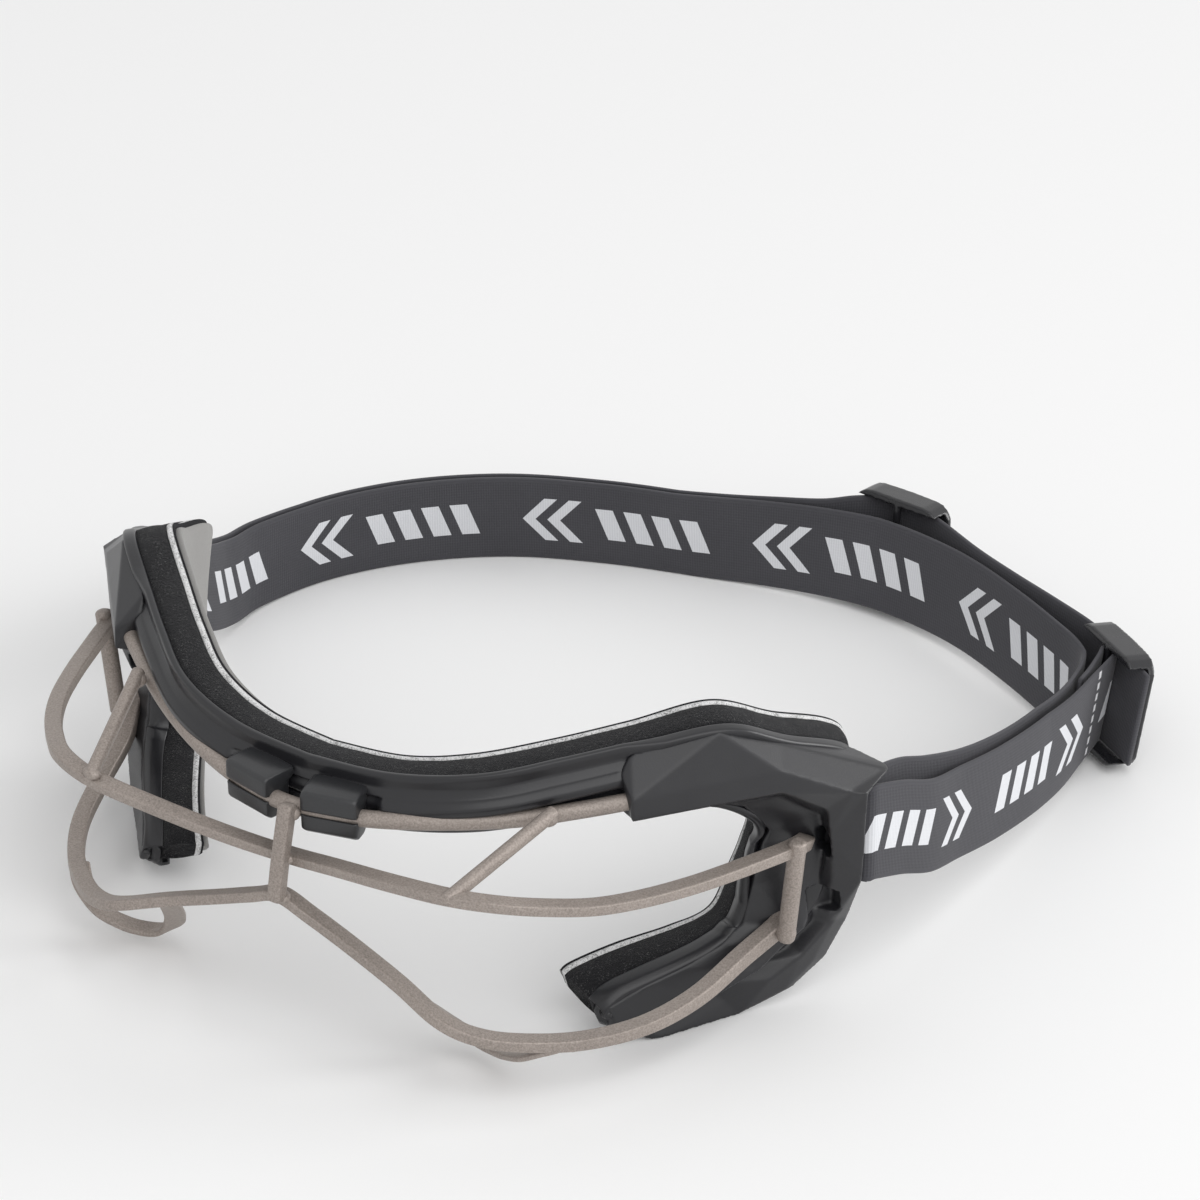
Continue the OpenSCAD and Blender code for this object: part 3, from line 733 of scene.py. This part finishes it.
# %% Rounding a CAD solid
def moulded(node, voxel_mm, rounds):
    """A copy of a node's mesh, merged, remeshed at voxel_mm and smoothed rounds times."""
    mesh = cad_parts[node].data.copy()
    bm = bmesh.new()
    bm.from_mesh(mesh)
    bmesh.ops.remove_doubles(bm, verts=bm.verts, dist=1e-6)
    bm.to_mesh(mesh)
    bm.free()
    mesh.materials.clear()
    obj = bpy.data.objects.new(f"{node}_moulding", mesh)
    bpy.context.collection.objects.link(obj)
    remesh = obj.modifiers.new("remesh", "REMESH")
    remesh.mode, remesh.voxel_size = "VOXEL", voxel_mm / 1000
    relax = obj.modifiers.new("relax", "SMOOTH")
    relax.factor, relax.iterations = 0.5, rounds
    bpy.context.view_layer.update()
    solid = bpy.data.meshes.new_from_object(obj.evaluated_get(bpy.context.evaluated_depsgraph_get()))
    obj.modifiers.clear()
    obj.data = solid
    solid.polygons.foreach_set("use_smooth", [True] * len(solid.polygons))
    face_out(obj)
    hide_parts(node)
    return obj


shells = [moulded(f"temple_shell_{label}", voxel_mm=0.34, rounds=3) for label in ("left", "right")]
sliders = [moulded(f"strap_slider_{label}", voxel_mm=0.25, rounds=5) for label in ("left", "right")]

# %% [markdown]
# Each snap clip is a hook that was pressed over the top bar, and the bar shows in its mouth. Cutting the
# hole with a Boolean would leave ragged edges at this size, so the hole is a part of the outline itself.

# %% Snap clips
CLIP_AT, CLIP_TURN = np.array([7.9, 1.25, 40.45]), math.radians(13)
HOLE_R, HOLE_FROM, HOLE_TO = 1.56, 140, -172
HOOK = [
    [-1.95, -0.6], [-1.9, -2.9], [-0.8, -3.9], [1.6, -4], [3.2, -3], [3.4, 2.2], [4.7, 3.2], [4.5, 4.3],
    [0.4, 4.5], [-1.6, 4.35], [-2.15, 3.9], [-2.2, 1.2],
]
HOOK_MIDDLE = np.array([1.0, 0.6])
# How far along the brow each ring stands from the clip's middle, and how much of the outline it has
CLIP_STEPS = np.array([-5, -4.9, -4.7, -4.3, -2, 0, 2, 4.3, 4.7, 4.9, 5])
CLIP_SHARE = np.array([0.9, 0.95, 0.98, 1, 1, 1, 1, 1, 0.98, 0.95, 0.9])


def clip_rings():
    """The left snap clip: its outline, a hook over the bar with a narrow mouth in front, is carried along
    the brow. The hole is an arc of the outline itself, so the clip is one closed skin."""
    a = np.radians(np.linspace(HOLE_FROM, HOLE_TO, 30))
    hole = HOLE_R * np.stack([np.cos(a), np.sin(a)], -1)
    profile = np.concatenate([hole, softened(np.array(HOOK), 0.3)])
    along_brow = np.array([math.cos(CLIP_TURN), math.sin(CLIP_TURN), 0])
    back = np.array([-math.sin(CLIP_TURN), math.cos(CLIP_TURN), 0])
    shape = HOOK_MIDDLE + (profile[None] - HOOK_MIDDLE) * CLIP_SHARE[:, None, None]
    along_clip = CLIP_AT + CLIP_STEPS[:, None, None] * along_brow
    return along_clip + shape[..., :1] * back + shape[..., 1:] * [0, 0, 1.0]


clips = []
for side, label in SIDES:
    clips.append(face_out(tube_piece(f"snap_clip_{label}", clip_rings() * [side, 1, 1])))
    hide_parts(f"brow_clip_{label}")
for piece in shells + clips:
    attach(piece, "goggles")
for piece, body in zip(sliders, ("slider_left", "slider_right")):
    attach(piece, body)

# %% [markdown]
# The mouldings are all black plastic, and only their skin tells them apart: the shells are matt with a
# fine texture, the clips a little paler, the sliders glossy with slow waves where the plastic flowed. One
# shared material would be shorter, but then all of them would catch the light alike.

# %% Matt and glossy mouldings
shell_finish = Finish("matt_moulding", Specular_IOR_Level=0.5)
texture = shell_finish.noise(0.3, 3.0, 0.6)
rub = shell_finish.noise(11, 4.0, 0.6)
shell_colour = shell_finish.mix(rub, (0.011, 0.011, 0.013), (0.021, 0.021, 0.024))
shell_finish.surface(shell_colour, texture * 0.08 + rub * 0.1 + 0.3, height=texture, depth_mm=0.02)
shell_finish.dress(*shells)

clip_finish = Finish("clip_moulding", Specular_IOR_Level=0.5)
clip_texture = clip_finish.noise(0.3, 3.0)
clip_colour = clip_finish.mix(clip_texture, (0.018, 0.0185, 0.02), (0.03, 0.031, 0.034))
clip_finish.surface(clip_colour, clip_texture * 0.12 + 0.3, height=clip_texture, depth_mm=0.02)
clip_finish.dress(*clips)

slider_finish = Finish("glossy_moulding", Specular_IOR_Level=0.55)
flow = slider_finish.noise(6, 3.0)
slider_colour = slider_finish.mix(flow, (0.008, 0.008, 0.0095), (0.02, 0.02, 0.023))
slider_finish.surface(slider_colour, flow * 0.15 + 0.2, height=flow, depth_mm=0.05)
slider_finish.dress(*sliders)

# %% [markdown]
# ## The strap
# The strap is a woven elastic band that stands on edge, in three lengths. A flat curve with an extrusion
# would give its width, but not its lean or its selvedges, so each ring is a flat section that leans with
# the band. Its route is the same as in the CAD model. Four numbers ride on each point for the finish:
# how far along the strap it is, how high in its width, how far through it, and which of its faces is
# printed.

# %% Routes of the strap
# Points of the foot of each band, in the drawing's millimetres
INNER_ROUTE = [
    [76.05, 58.8, 20.1], [76, 65, 19.4], [76.2, 72.9, 17], [77, 81, 13.4], [77.8, 92, 9.2],
    [78.2, 104, 5.8], [77.8, 117, 2.8], [76.4, 130, 0.2], [74, 140.6, -1.4], [71.6, 147.2, -1.8],
    [67.6, 151.8, -2.2], [61.8, 155.8, -2.4], [51.4, 161.8, -2.4], [39.2, 167.8, -2.4],
    [28.4, 171.2, -2.4], [16.4, 173, -2.4], [4.4, 173, -3], [-7.6, 171.4, -3.6],
    [-21.6, 168, -4], [-38.6, 163.2, -4], [-56.6, 155.4, -4], [-71.6, 143.2, -4],
    [-82.2, 128.4, -4], [-87, 113, -3.6], [-86, 102, -2], [-83, 91, 2.6], [-79.6, 79, 10],
    [-76.8, 68, 17.4], [-76.05, 58.8, 20.1],
]
OUTER_LEFT_ROUTE = [
    [79.15, 58.8, 20.1], [79.9, 67.4, 16.6], [80.6, 77, 12], [80.2, 88, 8.6], [80.6, 101.4, 5.4],
    [80.4, 117, 2.4], [79, 130, 0], [77.4, 141, -0.9], [76.45, 149.6, -1.1],
]
SEWN_END_ROUTE = [[73.75, 149.6, -0.9], [74.7, 146, -0.9], [75.6, 142, -0.9], [76.2, 138, -0.9]]
OUTER_RIGHT_ROUTE = [
    [85.23, 145.74, -1.45], [79.33, 149.64, -1.45], [73.53, 153.54, -1.45], [67.73, 157.54, -1.45],
    [58.6, 161.6, -1.4], [48.2, 165.8, -1.3], [38, 170.4, -1.25], [28, 175.9, -1.2],
    [22.2, 178.5, -1.2], [17.7, 179, -1.2], [13.2, 179.4, -1.2], [8.4, 177.2, -1.2],
    [3, 174.6, -2], [-6, 172.9, -3], [-14, 171.1, -3.6], [-22.1, 169.4, -4], [-39, 164.6, -4],
    [-57.4, 156.6, -4], [-72.8, 144.3, -4], [-83.7, 129, -4], [-88.7, 113.1, -3.6],
    [-87.9, 102, -2], [-85.4, 91, 2.6], [-82.4, 79, 10], [-79.9, 68, 17.4], [-79.15, 58.8, 20.1],
]
STRAP_W, STRAP_T = 19.0, 1.0
FLOOR = MIDDLE[2]
SLIDER_FOOT = -2.8
# The upright bars that the strap turns round: the left shell's, mirrored for the right, and the slider's
LOOP_BAR, SLIDER_LEFT = np.array([77.6, 58.8]), np.array([75.1, 149.6])
LOOP_BAR_R, SLIDER_BAR_R, PLAY = 1.0, 0.8, 0.05

# %% Turns and lean of the strap
LEAN_FROM_LEFT, LEAN_FROM_RIGHT, LEAN_RISE = 122, 98, 26


def turned(at, r, start, stop, feet, count=12):
    """Part of a level circle of radius r about at, from the angle start to the angle stop, while the
    foot goes from one height to the other."""
    a = np.radians(np.linspace(start, stop, count))
    return np.stack([at[0] + r * np.cos(a), at[1] + r * np.sin(a), np.linspace(*feet, count)], -1)


def lean_at(feet):
    """How far the strap's top stands out from its foot: 0 near the shells, and behind them a level
    step of reach millimetres, rising over LEAN_RISE of the way back. The reach goes from 2 mm towards
    the head on the right to about 3 mm away from it on the left."""
    x, y = feet[:, 0], feet[:, 1]
    rise = np.clip((y - np.where(x > 0, LEAN_FROM_LEFT, LEAN_FROM_RIGHT)) / LEAN_RISE, 0, 1)
    reach = -2 + 4.2 * np.clip((x + 25) / 40, 0, 1) + np.maximum(0, x - 17) / 72
    return (rise * reach)[:, None] * unit(np.stack([0.815 * x, y - 60, 0 * x], -1))


def resampled(line, step):
    """The line with its points spread evenly, about step apart, and how far along each one is."""
    reach = np.concatenate([[0], np.cumsum(np.linalg.norm(np.diff(line, axis=0), axis=1))])
    at = np.linspace(0, reach[-1], int(reach[-1] / step) + 1)
    return np.stack([np.interp(at, reach, line[:, k]) for k in range(3)], -1), at


# %% A band over a route
def strap_piece(name, route, layer, node):
    """A band over the route: at each point the section stands up by the strap's width and lies across
    the route by its thickness. It carries its place along, up and through as attributes. Its layer is
    below 0 where the face to the head is printed, above 0 where the face away from it is."""
    line, at = resampled(route, 0.8)
    line[:, 2] = np.maximum(line[:, 2], FLOOR)
    flat = directions(line)[:, :2]
    out = unit(np.stack([flat[:, 1], -flat[:, 0], np.zeros(len(line))], -1))
    lean = lean_at(line)
    tall = np.sqrt(STRAP_W ** 2 - (lean ** 2).sum(1))[:, None]
    foot = line + lean / tall * (line[:, 2:] - SLIDER_FOOT)
    up = tall * [0, 0, 1] + lean
    section = rounded_section(STRAP_W, STRAP_T, power=7, count=44)
    rings = (foot[:, None] + section[None, :, 1:] * out[:, None]
             + (section[None, :, :1] / STRAP_W + 0.5) * up[:, None])
    piece = face_out(tube_piece(name, rings))
    n, m = len(line), len(section)
    for key, values in (
        ("along", np.repeat(at, m)), ("up", np.tile(section[:, 0], n)),
        ("through", np.tile(section[:, 1] / (STRAP_T / 2), n)), ("layer", np.full(n * m, layer)),
    ):
        ends = [values[:m].mean(), values[-m:].mean()]
        numbers = piece.data.attributes.new(key, "FLOAT", "POINT")
        numbers.data.foreach_set("value", np.concatenate([values, ends]).astype(np.float32))
    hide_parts(node)
    print(f"{name}: {at[-1]:.0f} mm of {STRAP_W:g} mm strap")
    return piece


LOOP_R, LOOP_FOOT = LOOP_BAR_R + STRAP_T / 2 + PLAY, (OUTER_LEFT_ROUTE[0][2],) * 2
SEWN_R, SEWN_FOOT = SLIDER_BAR_R + STRAP_T / 2 + PLAY, (OUTER_LEFT_ROUTE[-1][2], SEWN_END_ROUTE[0][2])
outer_left_line = np.concatenate([
    turned(LOOP_BAR, LOOP_R, -180, 0, LOOP_FOOT), smooth_line(OUTER_LEFT_ROUTE, 10)[1:-1],
    turned(SLIDER_LEFT, SEWN_R, 0, 180, SEWN_FOOT), smooth_line(SEWN_END_ROUTE, 10)[1:],
])
outer_right_line = np.concatenate([
    smooth_line(OUTER_RIGHT_ROUTE, 10), turned(LOOP_BAR * [-1, 1], LOOP_R, 180, 360, LOOP_FOOT)[1:],
])
straps = [
    strap_piece("inner_strap", smooth_line(INNER_ROUTE, 10), -1.0, "strap_inner"),
    strap_piece("outer_strap_left", outer_left_line, 2.0, "strap_outer_left"),
    strap_piece("outer_strap_right", outer_right_line, 0.0, "strap_outer_right"),
]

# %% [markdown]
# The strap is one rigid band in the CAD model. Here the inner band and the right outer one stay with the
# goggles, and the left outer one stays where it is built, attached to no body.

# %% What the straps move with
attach(straps[0], "goggles")
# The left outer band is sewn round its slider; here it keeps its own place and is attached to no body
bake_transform(straps[1])
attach(straps[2], "goggles")

# %% [markdown]
# The weave of narrow elastic shows as fine ribs across the band with rubber threads under them, and a
# firmer edge above and below. The pale print is a plain geometric row of slanted bars and chevrons,
# pressed into the weave, so the ribs show through it. An image would have to be unwrapped onto the band,
# but the numbers that ride on its points already lay it out flat, so a few comparisons draw the print.

# %% The strap's weave
RIB_PITCH, THREAD_PITCH, SELVEDGE_AT = 0.5, 0.62, 8.6
strap_finish = Finish("woven_elastic", Sheen_Weight=0.12, Sheen_Roughness=0.4, Specular_IOR_Level=0.25)
length_mm = strap_finish.attribute("along")
up_mm = strap_finish.attribute("up")
face_side = strap_finish.attribute("through")
layer = strap_finish.attribute("layer")
ribs = (length_mm * (2 * math.pi / RIB_PITCH)).sin() * 0.5 + 0.5
threads = (up_mm * (2 * math.pi / THREAD_PITCH)).sin() * 0.5 + 0.5
fuzz = strap_finish.noise(0.4, 4.0, 0.7)
shade = strap_finish.noise(16, 3.0)
selvedge = up_mm.abs().edge(SELVEDGE_AT, 0.25)
weave = ribs * (1 - selvedge) * 0.35 + threads * 0.2 + fuzz * 0.35 + selvedge * 0.25

# %% The strap's print
PERIOD = 47.0
BAR_LEAN, CHEVRON_LEAN = 0.35, 0.9


def strokes(place, start, count, thick, gap, half_height):
    """Count strokes in each period of place, the first at start, up to half_height from the middle:
    1 where the remainder after whole strokes and gaps is less than a stroke's thickness."""
    x = place.cycle(PERIOD) * PERIOD - start
    pitch = thick + gap
    mask = x.cycle(pitch) * pitch < thick
    return mask * (x > 0) * (x < count * pitch - gap) * (up_mm.abs() < half_height)


slanted_bars = strokes(length_mm - up_mm * BAR_LEAN, 3, 4, 3.6, 2.2, 3.6)
chevrons = strokes(length_mm + up_mm.abs() * CHEVRON_LEAN, 32.5, 2, 2.6, 2.4, 5.0)
# The inner band is printed towards the head, the left outer band away from it, the right one not at all
printed = slanted_bars.either(chevrons) * (face_side * layer > 0.6)
worn = strap_finish.noise(0.5, 4.0, 0.7).edge(0.24, 0.12)
ink = printed * (0.84 + ribs * 0.1) * (worn * 0.25 + 0.75)

# %% The strap's finish
STITCH_AT, STITCH_PITCH, STITCH_SHARE = 92.0, 2.3, 0.35
# Only the left outer band, whose layer is above 1.5, has the row of stitches that holds its sewn end
stitches = (length_mm - STITCH_AT).abs() < 0.5
stitches = stitches * (up_mm.cycle(STITCH_PITCH) > STITCH_SHARE) * (layer > 1.5)
cloth = strap_finish.mix(weave * 0.7 + shade * 0.3, (0.036, 0.036, 0.041), (0.088, 0.087, 0.097))
marked = strap_finish.mix(ink, cloth, (0.74, 0.75, 0.78))
strap_colour = strap_finish.mix(stitches, marked, (0.7, 0.7, 0.72))
strap_finish.surface(strap_colour, 0.82 - printed * 0.2, height=weave, depth_mm=0.07)
strap_finish.dress(*straps)

# %% [markdown]
# ## The studio
# A product photograph has soft light from all round, so a pale world gives most of it. A broad lamp at
# the front right models the facets, and a smaller one low at the back right grazes the strap. The floor
# takes the soft shadow. Light Path lets the world look nearly white to the camera and in reflections
# without throwing more light on the goggles.

# %% Floor and world
FLOOR_HALF, FLOOR_SINK = 4, 0.0002
WORLD_LIGHT, WORLD_SEEN = 0.66, 0.94
floor = mesh_piece(
    "floor", [(x * FLOOR_HALF, y * FLOOR_HALF, -FLOOR_SINK) for x, y in ((-1, -1), (1, -1), (1, 1), (-1, 1))],
    [(0, 1, 2, 3)],
)
Finish("floor_paper", Base_Color=rgba(0.93), Roughness=0.9, Specular_IOR_Level=0.1).dress(floor)

world = bpy.data.worlds.new("studio")
bpy.context.scene.world = world
world.use_nodes = True
nodes, links = world.node_tree.nodes, world.node_tree.links
background, rays = nodes["Background"], nodes.new("ShaderNodeLightPath")
seen = rays.outputs["Is Camera Ray"]
for ray in ("Is Glossy Ray", "Is Transmission Ray"):
    either = nodes.new("ShaderNodeMath")
    either.operation = "MAXIMUM"
    links.new(seen, either.inputs[0])
    links.new(rays.outputs[ray], either.inputs[1])
    seen = either.outputs[0]
level = nodes.new("ShaderNodeMapRange")
level.inputs[3].default_value, level.inputs[4].default_value = WORLD_LIGHT, WORLD_SEEN
links.new(seen, level.inputs[0])
links.new(level.outputs[0], background.inputs["Strength"])
background.inputs["Color"].default_value = rgba(1.0)

# %% Lamps
LAMP_AIM = np.array([0, 0, 0.02])


def lamp(name, at, size, watts):
    """A square area lamp at a place in metres, turned to face the goggles' middle."""
    data = bpy.data.lights.new(name, "AREA")
    data.size, data.energy = size, watts
    obj = bpy.data.objects.new(name, data)
    bpy.context.collection.objects.link(obj)
    back = unit(np.array(at, float) - LAMP_AIM)
    side = unit(np.cross([0, 1, 0.001], back))
    set_axes(obj, side, np.cross(back, side), back, at)
    print(f"{name}: {watts} W over {size} m, {np.linalg.norm(np.array(at) - LAMP_AIM):.2f} m away")


lamp("front_right", (1.1, -0.7, 1.4), 1.9, 17)
lamp("back_right", (1.5, 1.2, 0.5), 0.9, 15)
bpy.context.scene.view_settings.view_transform = "Standard"
